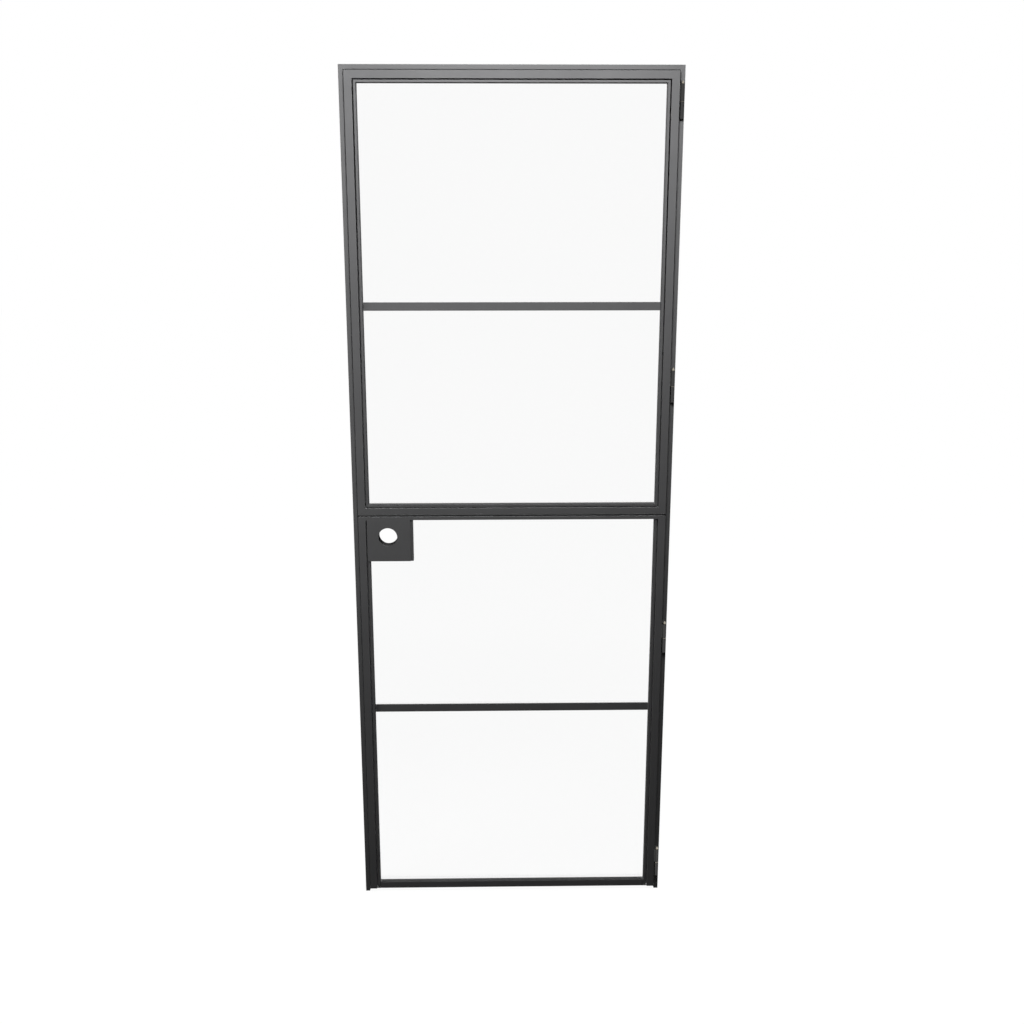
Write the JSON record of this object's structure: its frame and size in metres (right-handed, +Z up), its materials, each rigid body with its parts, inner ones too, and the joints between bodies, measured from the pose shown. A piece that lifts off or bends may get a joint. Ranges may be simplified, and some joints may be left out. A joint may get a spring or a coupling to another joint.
{
  "type": "glazed steel dutch door in its frame",
  "caption": "Narrow black steel dutch door: upper and lower glazed leaves swing separately on barrel hinges in one welded frame; lock prep in the lower leaf.",
  "frame": {"origin": "foot of the hinge jamb's outer face, at floor level, in the middle of the jamb's depth", "axes": "+Z up; +X out of the hinge jamb's outer face, so the door lies on the -X side; -Y to the front, the side of the hinge barrels, towards which both leaves open"},
  "size_m": [0.9144, 0.0723, 2.4384],
  "materials": {
    "black_paint": "fine satin black paint",
    "hinge_paint": "semi-gloss black paint",
    "satin_brass": "satin brass",
    "black_rubber": "matt",
    "clear_glass": "clear, polished"
  },
  "bodies": {
    "frame": {"strike_jamb": "black_paint", "hinge_jamb": "black_paint", "head_jamb": "black_paint", "strike_stop": "black_paint", "hinge_stop": "black_paint", "head_stop": "black_paint", "strike_seal": "black_rubber", "hinge_seal": "black_rubber", "head_seal": "black_rubber", "frame_knuckles": "hinge_paint", "hinge_washers": "satin_brass", "hinge_pins": "satin_brass"},
    "upper_leaf": {"upper_latch_stile": "black_paint", "upper_hinge_stile": "black_paint", "upper_top_rail": "black_paint", "upper_meeting_rail": "black_paint", "upper_muntin": "black_paint", "upper_latch_flange": "black_paint", "upper_hinge_flange": "black_paint", "upper_top_flange": "black_paint", "upper_meeting_flange": "black_paint", "upper_foot_bar": "black_paint", "upper_leaf_front_beads": "black_paint", "upper_leaf_top_glass": "clear_glass", "upper_leaf_low_glass": "clear_glass", "upper_leaf_gaskets": "black_rubber", "upper_leaf_beads": "black_paint", "upper_leaf_knuckles": "hinge_paint"},
    "lower_leaf": {"lower_latch_stile": "black_paint", "lower_hinge_stile": "black_paint", "lower_cap_bar": "black_paint", "lower_bottom_rail": "black_paint", "lower_muntin": "black_paint", "lower_latch_flange": "black_paint", "lower_hinge_flange": "black_paint", "lower_leaf_front_beads": "black_paint", "lock_box_front_plate": "black_paint", "lock_box_back_plate": "black_paint", "lock_box_side_bar": "black_paint", "lock_box_bottom_bar": "black_paint", "lower_leaf_top_glass": "clear_glass", "lower_leaf_low_glass": "clear_glass", "lower_leaf_gaskets": "black_rubber", "lower_leaf_beads": "black_paint", "lower_leaf_knuckles": "hinge_paint"}
  },
  "joints": [
    {"name": "upper_leaf_hinge", "type": "hinge", "parent": "frame", "child": "upper_leaf", "pos_m": [-0.007, -0.0365, 1.8], "axis": [0, 0, 1], "range_deg": [0, 120]},
    {"name": "lower_leaf_hinge", "type": "hinge", "parent": "frame", "child": "lower_leaf", "pos_m": [-0.007, -0.0365, 0.6], "axis": [0, 0, 1], "range_deg": [0, 120]}
  ]
}
